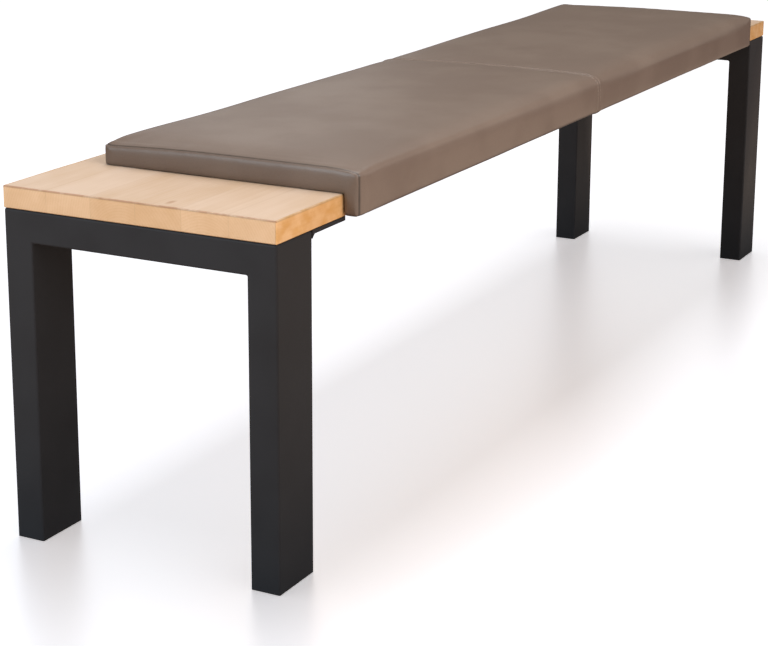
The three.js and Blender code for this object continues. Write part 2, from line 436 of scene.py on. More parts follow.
def oiled_wood():
    """Long-grained pale wood: every stave has its own heart, rings and tone."""
    made, tree, shader = new_material("oiled_oak", Roughness=0.5, Specular_IOR_Level=0.45)
    point = object_point(tree)
    split = add_node(tree, "ShaderNodeSeparateXYZ", {"Vector": point}).outputs
    stave_width = (board_high.y - board_low.y) / STAVES
    across = math_node(tree, "DIVIDE", math_node(tree, "SUBTRACT", split["Y"], board_low.y), stave_width)
    stave = math_node(tree, "FLOOR", across)
    chance = add_node(tree, "ShaderNodeTexWhiteNoise", {"W": stave}, noise_dimensions="1D").outputs
    chances = add_node(tree, "ShaderNodeSeparateColor", {"Color": chance["Color"]}).outputs

    # The heart of each stave's log lies some way below the board, and the rings sway along it. Each
    # ring darkens slowly and ends sharply.
    heart_y = math_node(tree, "MULTIPLY_ADD", chances["Red"], HEART_Y[1] - HEART_Y[0], HEART_Y[0])
    heart_z = math_node(tree, "MULTIPLY_ADD", chances["Green"], HEART_Z[1] - HEART_Z[0], HEART_Z[0])
    sway = mottle(tree, object_point(tree, (1.3, 7, 7)), 1.0, 1.0)
    from_y = math_node(tree, "SUBTRACT", split["Y"], heart_y)
    from_z = math_node(tree, "SUBTRACT", split["Z"], heart_z)
    from_y = math_node(tree, "MULTIPLY_ADD", sway, RING_SWAY, from_y)
    radius = flat_length(tree, from_y, from_z)
    ring = math_node(tree, "FRACT", math_node(tree, "MULTIPLY", radius, RINGS_A_METRE))
    late = spread(tree, ring, 0.45, 0.95)
    early = spread(tree, ring, 0.98, 1.0, 1.0, 0.0)
    rings = math_node(tree, "MULTIPLY", late, early)

    # The fibres, streaks and clouds of the grain, and how much each layer darkens the wood.
    fibre = mottle(tree, object_point(tree, (9, 420, 420)), 1.0, 4.0, 0.6)
    streak = mottle(tree, object_point(tree, (2.2, 60, 60)), 1.0, 3.0)
    cloud = mottle(tree, object_point(tree, (4, 14, 14)), 1.0, 3.0)
    blotch = mottle(tree, object_point(tree, (13, 27, 27)), 1.0, 2.0)
    smudge = mottle(tree, object_point(tree, (45, 45, 70)), 1.0, 3.0)
    tone = math_node(tree, "MULTIPLY_ADD", chances["Blue"], 0.24, -0.09)
    for layer, share in ((rings, 0.09), (fibre, 0.24), (streak, 0.28), (cloud, 0.45), (blotch, 0.45)):
        tone = math_node(tree, "MULTIPLY_ADD", layer, share, tone)
    colour = blend_colour(tree, spread(tree, tone, 0.38, 1.16), STAVE_LIGHT, STAVE_DARK)

    # A small knot at the near end, drawn out along the grain.
    away = vector_node(tree, "SUBTRACT", "Vector", point, (*KNOT_PLACE, board_high.z))
    away = vector_node(tree, "MULTIPLY", "Vector", away, KNOT_SQUEEZE)
    away = vector_node(tree, "LENGTH", "Value", away)
    knot = spread(tree, away, KNOT_CORE, KNOT_REACH, 1.0, 0.0)
    colour = blend_colour(tree, math_node(tree, "MULTIPLY", knot, 0.7), colour, KNOT_COLOUR)

    # Glue lines, then painted light: the front face deeper and darker (painted shade) and the top greyer
    # (painted sheen).
    from_stave_middle = math_node(tree, "SUBTRACT", math_node(tree, "FRACT", across), 0.5)
    from_stave_middle = math_node(tree, "ABSOLUTE", from_stave_middle)
    glue = spread(tree, from_stave_middle, 0.492, 0.499, 0.0, 0.22)
    colour = blend_colour(tree, glue, colour, GLUE_COLOUR)
    front = spread(tree, split["Y"], board_low.y + PAINTED_FACE_FROM, board_low.y + PAINTED_FACE_TO, 1.0, 0.0)
    front = math_node(tree, "MULTIPLY", front, spread(tree, smudge, 0.32, 0.68, 1.0, 0.62))
    colour = blend_colour(tree, front, colour, FRONT_PAINTED_SHADE, "MULTIPLY")
    top = spread(tree, split["Z"], board_high.z - PAINTED_FACE_TO, board_high.z - PAINTED_FACE_FROM)
    colour = blend_colour(tree, top, colour, TOP_PAINTED_SHEEN, "MULTIPLY")

    # Both ends' upper edges are darker and reddish brown here and there.
    from_middle = math_node(tree, "ABSOLUTE", split["X"])
    at_end = spread(tree, from_middle, board_high.x - 0.0020, board_high.x - 0.0008)
    at_top = spread(tree, split["Z"], board_high.z - 0.0034, board_high.z - 0.0014)
    rim = math_node(tree, "MULTIPLY", at_end, at_top)
    rim = math_node(tree, "MULTIPLY", rim, spread(tree, smudge, 0.38, 0.58, 0.15, 0.9))
    colour = blend_colour(tree, rim, colour, END_EDGE_DARKER, "MULTIPLY")
    tree.links.new(colour, shader.inputs["Base Color"])

    rough = math_node(tree, "MULTIPLY_ADD", streak, 0.18, 0.42)
    tree.links.new(rough, shader.inputs["Roughness"])
    grain = bump(tree, fibre, 0.00006)
    tree.links.new(bump(tree, rings, 0.00003, below=grain), shader.inputs["Normal"])
    return made


finish_surface(board, oiled_wood())
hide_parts("bench_top")
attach(board, "root")


# Frames: under each end of the board an upside-down U of rectangular steel tube, mitred, welded and
# ground flush, with a flat plate welded along its inner side to screw the board to. Powder coated.
TUBE_CORNER = 0.003
FOOT_EASE = 0.001
WELD = 0.005
WELD_ROUND, WELD_HOLLOW = 0.97, 0.22
PLATE_CORNER = 0.002
PLATE_EASE = 0.0006
COAT_COLOUR = (0.0380, 0.0370, 0.0405, 1)
COAT_WORN = (0.0455, 0.0445, 0.0485, 1)


def pick(piece, kind, test):
    """In edit mode, selects only the vertices, edges or faces that pass the test."""
    bpy.ops.mesh.select_mode(type=kind)
    bpy.ops.mesh.select_all(action="DESELECT")
    shape = bmesh.from_edit_mesh(piece.data)
    parts = {"VERT": shape.verts, "EDGE": shape.edges, "FACE": shape.faces}[kind]
    for part in parts:
        if test(part):
            part.select_set(True)
    bmesh.update_edit_mesh(piece.data)


def extrude(step):
    """In edit mode, extrudes the selection by a step."""
    bpy.ops.mesh.extrude_region_move(TRANSFORM_OT_translate={"value": step})


def close(a, b, reach=0.0002):
    """Whether two numbers are nearly the same."""
    return abs(a - b) < reach


def edge_middle(edge):
    """The point halfway along an edge."""
    return (edge.verts[0].co + edge.verts[1].co) / 2


def pick_at(piece, x, z):
    """In edit mode, selects the edges whose middle is at this x and z."""
    pick(piece, "EDGE", lambda edge: close(edge_middle(edge).x, x) and close(edge_middle(edge).z, z))


def powder_coat():
    """Matt anthracite powder coat, with its fine orange-peel skin."""
    made, tree, shader = new_material("powder_coat", Specular_IOR_Level=0.12)
    point = object_point(tree)
    finish = place_effect(
        tree, CLOUDY, Point=point, Scale=9, Detail=3, Light=COAT_COLOUR, Dark=COAT_WORN,
        From=0.3, To=0.7, Smooth=0.42, Rough=0.60,
    )
    tree.links.new(finish["Color"], shader.inputs["Base Color"])
    tree.links.new(finish["Roughness"], shader.inputs["Roughness"])
    skin = mottle(tree, point, 1400, 2.0)
    peel = mottle(tree, point, 330, 1.0)
    fine = bump(tree, skin, 0.00004, 0.7)
    tree.links.new(bump(tree, peel, 0.00008, 0.7, below=fine), shader.inputs["Normal"])
    return made


leg_low, leg_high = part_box("leg_left_front")
back_leg_low, back_leg_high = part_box("leg_left_back")
beam_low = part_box("beam_left")[0]
coat = powder_coat()

tube_frame = add_block("tube_frame_left", leg_low, leg_high)
edit(tube_frame)
cut([beam_low.z], (0, 0, 1))
pick(tube_frame, "FACE", lambda face: face.normal.y > 0.9 and face.calc_center_median().z > beam_low.z)
extrude((0, back_leg_low.y - leg_high.y, 0))
extrude((0, back_leg_high.y - back_leg_low.y, 0))
pick(tube_frame, "FACE", lambda face: face.normal.z < -0.9 and face.calc_center_median().y > back_leg_low.y)
extrude((0, 0, -beam_low.z))
pick(tube_frame, "EDGE", lambda edge: edge_middle(edge).z < FOOT_EASE)
bpy.ops.transform.edge_bevelweight(value=FOOT_EASE / TUBE_CORNER)
pick(tube_frame, "EDGE", lambda edge: edge_middle(edge).z > FOOT_EASE and edge.calc_face_angle() > 1)
bpy.ops.transform.edge_bevelweight(value=1)
leave_edit()
modify(tube_frame, "BEVEL", width=TUBE_CORNER, segments=5, limit_method="WEIGHT")
finish_surface(tube_frame, coat)

plate_low, plate_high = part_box("plate_left")
plate = add_block("fixing_plate_left", plate_low, plate_high)
edit(plate)
cut([plate_low.x + WELD], (1, 0, 0))
pick(plate, "FACE", lambda face: face.normal.z < -0.9 and face.calc_center_median().x < plate_low.x + WELD)
extrude((0, 0, -WELD))
pick_at(plate, x=plate_low.x + WELD, z=plate_low.z - WELD)
bpy.ops.mesh.bevel(offset=WELD * WELD_ROUND, segments=6, profile=WELD_HOLLOW)
pick_at(plate, x=plate_high.x, z=(plate_high.z + plate_low.z) / 2)
bpy.ops.mesh.bevel(offset=PLATE_CORNER, segments=4)
leave_edit()
modify(plate, "BEVEL", width=PLATE_EASE, segments=2, limit_method="ANGLE", angle_limit=math.radians(50))
finish_surface(plate, coat)


def mirrored(piece, name):
    """A copy of a piece on the other side of the bench's middle, with its own mesh."""
    activate(piece)
    bpy.ops.object.duplicate()
    made = bpy.context.object
    made.name = name
    edit(made)
    bpy.ops.transform.mirror(
        orient_type="GLOBAL", constraint_axis=(True, False, False), center_override=(0, 0, 0)
    )
    bpy.ops.mesh.normals_make_consistent(inside=False)
    leave_edit()
    return made


frames = {
    "left": (tube_frame, plate),
    "right": (mirrored(tube_frame, "tube_frame_right"), mirrored(plate, "fixing_plate_right")),
}
for side, (tube_frame, plate) in frames.items():
    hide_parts(f"leg_{side}_front", f"leg_{side}_back", f"beam_{side}")
    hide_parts(f"plate_{side}")
    for piece in (tube_frame, plate):
        shade_from(lamps[1], piece)
        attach(piece, "root")


# Cushion cover: one sheet of leatherette over each half of a foam slab and its lip, the two joined by
# a seam across the middle. It is stretched over the foam, so it swells between its seams, and the
# tight corners where it is sewn to the end panels ease into a soft roll along the front.
COVER_FRONT = board_low.y - 0.0243
LIP_INNER = board_low.y - 0.002
COVER_BACK = board_low.y + 0.3386
COVER_UNDER = board_high.z + 0.0003
COVER_TOP = board_high.z + 0.0297
LIP_BOTTOM = board_high.z - 0.0262
OUTLINE_STEP = 0.0075
UNDER_STEP = 0.016
RING_STEP = 0.008
cover_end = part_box("cushion_body")[1].x
board_middle = (board_low + board_high) / 2

# Each turn of the cover, with its radius along the bench and the tighter one at the end seams.
turns = [
    {"y": COVER_FRONT, "z": COVER_TOP, "radius": 0.017, "at_end": 0.0045, "segments": 8},
    {"y": COVER_BACK, "z": COVER_TOP, "radius": 0.006, "at_end": 0.0024, "segments": 5},
    {"y": COVER_BACK, "z": COVER_UNDER, "radius": 0.0045, "at_end": 0.003, "segments": 4},
    {"y": COVER_FRONT, "z": LIP_BOTTOM, "radius": 0.006, "at_end": 0.004, "segments": 5},
    {"y": LIP_INNER, "z": LIP_BOTTOM, "radius": 0.005, "at_end": 0.004, "segments": 4},
]

bpy.ops.object.select_all(action="DESELECT")
bpy.ops.mesh.primitive_plane_add(size=1, rotation=(0, math.radians(90), 0))
outline = bpy.context.object
outline.name = "cushion_outline"
bpy.ops.object.transform_apply()
outline.scale = (1, COVER_BACK - COVER_FRONT, COVER_TOP - COVER_UNDER)
outline.location = (-cover_end, (COVER_BACK + COVER_FRONT) / 2, (COVER_TOP + COVER_UNDER) / 2)
bpy.ops.object.transform_apply()


def above_lip(edge):
    """Whether an edge of the outline is the one that the lip hangs down from."""
    middle = edge_middle(edge)
    return close(middle.z, COVER_UNDER) and middle.y < LIP_INNER


edit(outline)
cut([LIP_INNER], (0, 1, 0))
pick(outline, "EDGE", above_lip)
extrude((0, 0, LIP_BOTTOM - COVER_UNDER))
bpy.ops.mesh.select_all(action="SELECT")
bpy.ops.mesh.dissolve_limited(angle_limit=math.radians(1))
for turn in turns:
    pick(outline, "VERT", lambda vert: close(vert.co.y, turn["y"]) and close(vert.co.z, turn["z"]))
    bpy.ops.mesh.bevel(
        offset=turn["radius"], offset_type="OFFSET", segments=turn["segments"], affect="VERTICES"
    )
bpy.ops.mesh.select_all(action="SELECT")
bpy.ops.mesh.delete(type="ONLY_FACE")


def longest_step(edge):
    """The length that an edge of the outline may have."""
    return UNDER_STEP if close(edge_middle(edge).z, COVER_UNDER) else OUTLINE_STEP


while True:
    shape = bmesh.from_edit_mesh(outline.data)
    worst = max(shape.edges, key=lambda edge: edge.calc_length() / longest_step(edge))
    cuts = math.ceil(worst.calc_length() / longest_step(worst)) - 1
    if cuts < 1:
        break
    pick(outline, "EDGE", lambda edge: edge.index == worst.index)
    bpy.ops.mesh.subdivide(number_cuts=cuts)
leave_edit()


def walk_round(piece, start):
    """The points of a closed wire in order, from the one nearest to start, first towards -Z."""
    shape = bmesh.new()
    shape.from_mesh(piece.data)
    vert = min(shape.verts, key=lambda v: (v.co - start).length)
    edge = min(vert.link_edges, key=lambda e: e.other_vert(vert).co.z)
    points = []
    while len(points) < len(shape.verts):
        points.append(vert.co.copy())
        vert = edge.other_vert(vert)
        edge = next(e for e in vert.link_edges if e != edge)
    shape.free()
    return points


def search_tree(points):
    """A tree that finds the nearest of these points in the plane of the outline."""
    made = kdtree.KDTree(len(points))
    for i, point in enumerate(points):
        made.insert((0, point.y, point.z), i)
    made.balance()
    return made


def nearest(tree, point):
    """Index of the tree's nearest point, and its distance in the plane of the outline."""
    found, index, distance = tree.find((0, point.y, point.z))
    return index, distance


def outward(line, index):
    """The outward normal of a closed line at one of its points."""
    along = line[(index + 1) % len(line)] - line[index - 1]
    return Vector((0, -along.z, along.y)).normalized()


outline_start = Vector((-cover_end, LIP_INNER, COVER_UNDER))
cover_line = walk_round(outline, outline_start)
cover_tree = search_tree(cover_line)
reaches = [0]
for point, following in zip(cover_line, cover_line[1:] + cover_line[:1]):
    reaches.append(reaches[-1] + (following - point).length)


def copy_of(piece, name):
    """A copy of a piece in its own place, with its own mesh."""
    activate(piece)
    bpy.ops.object.duplicate()
    made = bpy.context.object
    made.name = name
    return made


def bell(distance, reach):
    """1 at no distance, falling off smoothly to both sides."""
    return math.exp(-((distance / reach) ** 2))


def share_of(value, start, end):
    """How far a value is from start to end, eased at both, from 0 to 1."""
    share = max(0, min(1, (value - start) / (end - start)))
    return share * share * (3 - 2 * share)


def tightened(point, share):
    """A point of a turn, moved towards the turn's tighter form by this share."""
    for turn in turns:
        off = Vector((0, point.y - turn["y"], point.z - turn["z"]))
        if max(abs(off.y), abs(off.z)) < turn["radius"] - 0.00001:
            return point - off * share * (1 - turn["at_end"] / turn["radius"])
    return point


# The top: crowned across, fuller towards the back near both ends, and lower along the end seams, which
# fall away to the back and in the last stretch before the front. The front roll is crisper at one end.
CROWN = 0.0036
BODY_DROP = 0.0010
BACK_DROP = 0.0010
END_RISE = 0.0036
END_RISE_FROM = 0.44
END_RISE_TO = 0.70
MIDDLE_DIP = 0.0014
MIDDLE_DIP_REACH = 0.17
SEAM_BACK_FALL = 0.0052
SEAM_FLAT_TO = board_low.y + 0.157
SEAM_FRONT_FALL = 0.0040
SEAM_FLAT_FROM = board_low.y + 0.022
SEAM_EAR = 0.0022
END_EASE = 0.016
END_DRAW = 0.0030
END_DRAW_EASE = 0.011
FRONT_CRISP = 0.62
CRISP_FROM, CRISP_TO = -0.2, 0.6


def crowned(point, at_end):
    """A point with the crown of the top, from the form along the bench (0) to that of the end seam (1)."""
    along = (point.y - COVER_FRONT) / (COVER_BACK - COVER_FRONT)
    far = abs(point.x)
    body = CROWN * 4 * along * (1 - along) - BODY_DROP - BACK_DROP * along
    body += END_RISE * share_of(far, END_RISE_FROM, END_RISE_TO) * along ** 2
    body -= MIDDLE_DIP * bell(far, MIDDLE_DIP_REACH) * along
    past_flat = max(0, point.y - SEAM_FLAT_TO) / (COVER_BACK - SEAM_FLAT_TO)
    before_flat = max(0, SEAM_FLAT_FROM - point.y) / (SEAM_FLAT_FROM - COVER_FRONT)
    seam = SEAM_EAR * bell(COVER_BACK - point.y, 0.005) - SEAM_BACK_FALL * past_flat ** 2
    seam -= SEAM_FRONT_FALL * before_flat ** 2
    height = max(0, min(1, (point.z - COVER_UNDER) / (COVER_TOP - COVER_UNDER)))
    return point + Vector((0, 0, height * (body + at_end * (seam - body))))


def drawn_in(point, share):
    """A point of the front, moved back by this share of the pull of the end seam."""
    near_front = 1 - share_of(point.y, COVER_FRONT + 0.002, COVER_FRONT + 0.020)
    return point + Vector((0, END_DRAW * share * near_front, 0))


def fitted(point):
    """Where a point of the plain sweep lies on the filled cushion."""
    from_end = cover_end - abs(point.x)
    at_end = bell(from_end, END_EASE)
    crisp = at_end
    if point.z > COVER_UNDER and point.y < LIP_INNER:
        crisp = max(at_end, FRONT_CRISP * share_of(-point.x, CRISP_FROM, CRISP_TO))
    return drawn_in(crowned(tightened(point, crisp), at_end), bell(from_end, END_DRAW_EASE))


cover = copy_of(outline, "cushion_cover")
ring_steps = 2 * round(cover_end / RING_STEP)
modify(
    cover,
    "SCREW",
    axis="X",
    angle=0,
    screw_offset=2 * cover_end,
    steps=ring_steps,
    render_steps=ring_steps,
    use_normal_calculate=True,
    use_normal_flip=True,
)

# The cover's own map: metres along the bench and metres round the outline.
cover_map = cover.data.uv_layers.new(name="cover")
for face in cover.data.polygons:
    places = [reaches[nearest(cover_tree, cover.data.vertices[v].co)[0]] for v in face.vertices]
    wraps = max(places) - min(places) > reaches[-1] / 2
    for loop, vertex, place in zip(face.loop_indices, face.vertices, places):
        round_place = place + reaches[-1] if wraps and place < reaches[-1] / 2 else place
        cover_map.data[loop].uv = (cover.data.vertices[vertex].co.x, round_place)

# The foam fills the cover, and its pressure swells it between the seams and off the board.
PRESSURE = 8.0
SWELL_STEPS = 20
COVER_SWELL = Vector((0.0015, 0.0013, 0.0036))
COVER_SINK = Vector((0.0015, 0.0006, 0.0012))
LIP_LIFT = 0.0004
MIDDLE_LIFT = 0.0010


def capped(moved, before):
    """A point's move, held to the most that it may swell outwards or sink inwards along each axis."""
    kept = Vector()
    for axis in range(3):
        outwards = 1 if axis == 2 else math.copysign(1, before[axis] - board_middle[axis])
        most = COVER_SWELL[axis] if moved[axis] * outwards > 0 else COVER_SINK[axis]
        if axis == 2 and before.z < COVER_UNDER:
            most = LIP_LIFT
        kept[axis] = most * math.tanh(moved[axis] / most)
    return kept


held = cover.vertex_groups.new(name="held")
for vertex in cover.data.vertices:
    lies_on_board = close(vertex.co.z, COVER_UNDER) and vertex.co.y > LIP_INNER - 0.001
    behind_lip = close(vertex.co.y, LIP_INNER) and vertex.co.z < COVER_UNDER
    at_end = abs(vertex.co.x) > cover_end - 0.001
    at_middle = abs(vertex.co.x) < 0.001
    lift = Vector()
    if at_middle and not lies_on_board and not behind_lip:
        lift = outward(cover_line, nearest(cover_tree, vertex.co)[0]) * MIDDLE_LIFT
    if lies_on_board or behind_lip or at_end or at_middle:
        held.add([vertex.index], 1.0, "REPLACE")
    vertex.co = fitted(vertex.co) + lift

before_swelling = [vertex.co.copy() for vertex in cover.data.vertices]
cloth = cover.modifiers.new("Cloth", "CLOTH")
cloth.settings.quality = 6
cloth.settings.mass = 0.4
cloth.settings.tension_stiffness = 40
cloth.settings.compression_stiffness = 40
cloth.settings.shear_stiffness = 20
cloth.settings.bending_stiffness = 2
cloth.settings.vertex_group_mass = "held"
cloth.settings.use_pressure = True
cloth.settings.uniform_pressure_force = PRESSURE
cloth.settings.effector_weights.gravity = 0
cloth.collision_settings.use_collision = False
for step in range(1, SWELL_STEPS + 1):
    bpy.context.scene.frame_set(step)
activate(cover)
bpy.ops.object.modifier_apply(modifier=cloth.name)
bpy.context.scene.frame_set(1)
for vertex, before in zip(cover.data.vertices, before_swelling):
    vertex.co = before + capped(vertex.co - before, before)
modify(cover, "SMOOTH", factor=0.5, iterations=3, vertex_group="held", invert_vertex_group=True)
modify(cover, "SUBSURF", levels=1, render_levels=1, boundary_smooth="PRESERVE_CORNERS")

# The end seams and the topstitched seam across the middle, each with its furrow, the ridge of the
# turned-in edge beside it, and small puckers.
END_FURROW = 0.0014
MIDDLE_FURROW = 0.0005
STITCH_ROW = 0.005
PUCKER = 0.00045
PUCKERS_A_METRE = 75
COVER_WAVER = 0.0004
DENT_SQUAT = 1.4
end_relief = [
    {"from_seam": 0, "height": -END_FURROW, "reach": 0.0013, "all_round": True},
    {"from_seam": 0.0085, "height": 0.00025, "reach": 0.004, "all_round": False},
]
middle_relief = [
    {"from_seam": 0, "height": -MIDDLE_FURROW, "reach": 0.0010, "all_round": True},
    {"from_seam": 0.0027, "height": 0.0003, "reach": 0.0018, "all_round": False},
    {"from_seam": STITCH_ROW, "height": -0.0004, "reach": 0.0009, "all_round": False},
    {"from_seam": 0.0078, "height": 0.0003, "reach": 0.0022, "all_round": False},
]
end_loops = [0.0006, 0.0012, 0.0019, 0.0028, 0.0055, 0.0095]
middle_loops = [0.0006, 0.0012, 0.002, 0.003, 0.0044, 0.0052, 0.006, 0.0075]
front_dents = [
    {"x": -0.635, "z": 0.455, "depth": 0.0009, "reach": 0.010},
    {"x": -0.622, "z": 0.444, "depth": 0.0007, "reach": 0.012},
    {"x": -0.602, "z": 0.439, "depth": -0.0006, "reach": 0.010},
    {"x": -0.30, "z": 0.447, "depth": 0.0006, "reach": 0.022},
    {"x": 0.22, "z": 0.452, "depth": 0.0005, "reach": 0.030},
    {"x": 0.52, "z": 0.444, "depth": 0.0006, "reach": 0.022},
]
edit(cover)
for side in (-1, 1):
    cut([side * (cover_end - place) for place in end_loops], (1, 0, 0))
    cut([side * place for place in middle_loops], (1, 0, 0))
leave_edit()


def seam_relief(rows, distance, seen):
    """The furrows and ridges at this distance from a seam. Some only run where the cover is seen."""
    shown = [row for row in rows if seen or row["all_round"]]
    return sum(row["height"] * bell(distance - row["from_seam"], row["reach"]) for row in shown)


def cover_relief(point):
    """How far the skin stands out at a point, beyond the smooth shape."""
    from_end = cover_end - abs(point.x)
    from_middle = abs(point.x)
    side = math.copysign(3, point.x)
    seen = 0 if point.z < COVER_UNDER + 0.001 and point.y > LIP_INNER - 0.001 else 1
    along_seam = Vector((side, point.y * PUCKERS_A_METRE, point.z * PUCKERS_A_METRE))
    height = seam_relief(end_relief, from_end, seen) + seam_relief(middle_relief, from_middle, seen)
    height += seen * PUCKER * noise.noise(along_seam) * math.exp(-from_end / 0.014)
    ripple = noise.noise(Vector((point.x * 130, point.y * 9 + side, point.z * 9)))
    height += seen * 0.0004 * ripple * bell(from_end - 0.016, 0.010)
    if from_middle > STITCH_ROW:
        height += seen * PUCKER * noise.noise(along_seam * 1.3) * math.exp((STITCH_ROW - from_middle) / 0.013)
    calm = 1 - bell(from_end, 0.03) - bell(from_middle, 0.02)
    height += seen * calm * COVER_WAVER * noise.noise(Vector((point.x * 7, point.y * 16, point.z * 16)))
    if point.y < COVER_FRONT + 0.010:
        for dent in front_dents:
            away = math.hypot(point.x - dent["x"], DENT_SQUAT * (point.z - dent["z"]))
            height -= dent["depth"] * bell(away, dent["reach"])
    return height


for vertex, normal in zip(cover.data.vertices, [v.normal.copy() for v in cover.data.vertices]):
    vertex.co += normal * cover_relief(vertex.co)

# Painted shade where the leatherette is folded in: at the end seams, the middle seam and along the lip's
# lower edge.
crease_shade = cover.data.attributes.new("crease_shade", "FLOAT", "POINT")
for vertex, value in zip(cover.data.vertices, crease_shade.data):
    underside_shade = 1 - share_of(vertex.co.z, LIP_BOTTOM + 0.0010, LIP_BOTTOM + 0.0030)
    seam = bell(cover_end - abs(vertex.co.x), 0.0020) + 0.2 * bell(vertex.co.x, 0.0012)
    value.value = min(1, seam + 0.7 * underside_shade)

edit(cover)
for side in (-1, 1):
    pick(cover, "EDGE", lambda edge: edge.is_boundary and edge.verts[0].co.x * side > 0)
    bpy.ops.mesh.edge_face_add()
bpy.ops.mesh.select_all(action="SELECT")
bpy.ops.mesh.normals_make_consistent(inside=False)
leave_edit()

LEATHER_LIGHT = (0.151, 0.105, 0.080, 1)
LEATHER_DARK = (0.132, 0.089, 0.067, 1)
# Painted shade in the grain's hollows and the needle holes.
LEATHER_HOLLOW_SHADE = (0.05, 0.035, 0.028, 1)
# Painted shade in the seams' creases.
LEATHER_CREASE_SHADE = (0.028, 0.021, 0.017, 1)
PEBBLES_A_METRE = 950
STITCH_PITCH = 0.0055
STITCH_START = 0.035
HOLE_REACH = 0.0016


def leatherette():
    """Taupe leatherette: a fine pebbled grain with a satin top coat, browner than its gloss makes it look."""
    made, tree, shader = new_material("taupe_leatherette", Specular_IOR_Level=0.5)
    point = object_point(tree)
    finish = place_effect(
        tree, CLOUDY, Point=point, Scale=7, Detail=5, Light=LEATHER_LIGHT, Dark=LEATHER_DARK,
        From=0.4, To=0.6, Smooth=0.33, Rough=0.43,
    )
    pebble = add_node(
        tree,
        "ShaderNodeTexVoronoi",
        {"Vector": point, "Scale": PEBBLES_A_METRE, "Randomness": 0.9},
        feature="SMOOTH_F1",
    ).outputs["Distance"]
    grain = spread(tree, pebble, 0.1, 0.75, 1.0, 0.0)
    # The grain's valleys are darkened: painted shade in its hollows.
    valley_shade = spread(tree, grain, 0.0, 0.5, 0.18, 0.0)
    colour = blend_colour(tree, valley_shade, finish["Color"], LEATHER_HOLLOW_SHADE)
    # Painted shade at the seams and along the lip's lower edge, from the piece's own attribute.
    seam = add_node(tree, "ShaderNodeAttribute", attribute_name="crease_shade").outputs["Fac"]
    colour = blend_colour(tree, math_node(tree, "MULTIPLY", seam, 0.9), colour, LEATHER_CREASE_SHADE)

    # Needle holes between the stitches, on the cover's own map, darkened with painted shade.
    place = add_node(tree, "ShaderNodeUVMap", uv_map="cover").outputs["UV"]
    place = add_node(tree, "ShaderNodeSeparateXYZ", {"Vector": place}).outputs
    off_row = math_node(tree, "SUBTRACT", math_node(tree, "ABSOLUTE", place["X"]), STITCH_ROW)
    turn = math_node(tree, "DIVIDE", math_node(tree, "SUBTRACT", place["Y"], STITCH_START), STITCH_PITCH)
    off_hole = math_node(tree, "SUBTRACT", math_node(tree, "FRACT", turn), 0.5)
    off_hole = math_node(tree, "MULTIPLY", off_hole, STITCH_PITCH)
    away = flat_length(tree, off_row, off_hole)
    hole = spread(tree, away, 0.0003, HOLE_REACH, 1.0, 0.0)
    colour = blend_colour(tree, math_node(tree, "MULTIPLY", hole, 0.45), colour, LEATHER_HOLLOW_SHADE)
    tree.links.new(colour, shader.inputs["Base Color"])

    tree.links.new(finish["Roughness"], shader.inputs["Roughness"])
    fine = bump(tree, grain, 0.00006, 0.8)
    dimple = bump(tree, math_node(tree, "MULTIPLY", hole, -1.0), 0.0003, 1.0, below=fine)
    tree.links.new(dimple, shader.inputs["Normal"])
    return made


leather = leatherette()
finish_surface(cover, leather, smooth_angle=60)
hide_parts("cushion_body")
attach(cover, "root")


# End panels: an L-shaped piece of the same leatherette, sewn round its whole edge to the cover, flat
# but a little blown up by the foam behind it. The two are mirror images.
PANEL_CELL = 0.012
PANEL_FULLEST = 0.0015
PANEL_BULGE = 0.0040
PANEL_SOFT = 0.014
PANEL_RIM = 0.0006
PANEL_WAVER = 0.0006
PANEL_WAVERS_A_METRE = 22
PANEL_CLEAR = 0.0002
panel_rows = [
    {"out": 0.0006, "inset": 0.0007},
    {"out": 0.0005, "inset": 0.0014},
    {"out": 0.0004, "inset": 0.0024},
]
panel_seam = -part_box("cushion_end_left")[1].x

for vertex in outline.data.vertices:
    vertex.co = tightened(vertex.co, 1)
panel_line = walk_round(outline, outline_start)
panel_tree = search_tree(panel_line)
panel = copy_of(outline, "end_panel_left")
edit(panel)
bpy.ops.mesh.edge_face_add()
bpy.ops.transform.translate(value=(cover_end - panel_seam - PANEL_FULLEST, 0, 0))
cells = round((COVER_BACK - COVER_FRONT) / PANEL_CELL)
cut(between(COVER_FRONT, COVER_BACK, cells), (0, 1, 0))
cut([COVER_UNDER] + between(COVER_UNDER, COVER_TOP, 3), (0, 0, 1))
bpy.ops.mesh.select_all(action="SELECT")
for row in panel_rows:
    bpy.ops.mesh.inset(thickness=row["inset"], depth=0)
    bpy.ops.transform.translate(value=(-row["out"], 0, 0))
for step in range(2):
    pick(panel, "EDGE", lambda edge: edge.is_boundary)
    extrude((PANEL_FULLEST / 2, 0, 0))
leave_edit()
for vertex in panel.data.vertices:
    index, distance = nearest(panel_tree, vertex.co)
    out = -panel_seam - vertex.co.x
    if out < PANEL_FULLEST or close(out, PANEL_FULLEST, 0.0001):
        turned_in = END_FURROW * (1 - out / PANEL_FULLEST) ** 2 + PANEL_CLEAR
        vertex.co -= outward(panel_line, index) * turned_in
    else:
        vertex.co.y = max(COVER_FRONT + PANEL_RIM, min(COVER_BACK - PANEL_RIM, vertex.co.y))
        vertex.co.z = max(LIP_BOTTOM + PANEL_RIM, min(COVER_TOP - PANEL_RIM, vertex.co.z))
        soft = 1 - math.exp(-distance / PANEL_SOFT)
        waver = PANEL_WAVER * noise.noise(vertex.co * PANEL_WAVERS_A_METRE)
        vertex.co.x -= soft * (PANEL_BULGE + waver)
    vertex.co = drawn_in(crowned(vertex.co, 1), 1)
modify(panel, "SUBSURF", levels=2, render_levels=2)
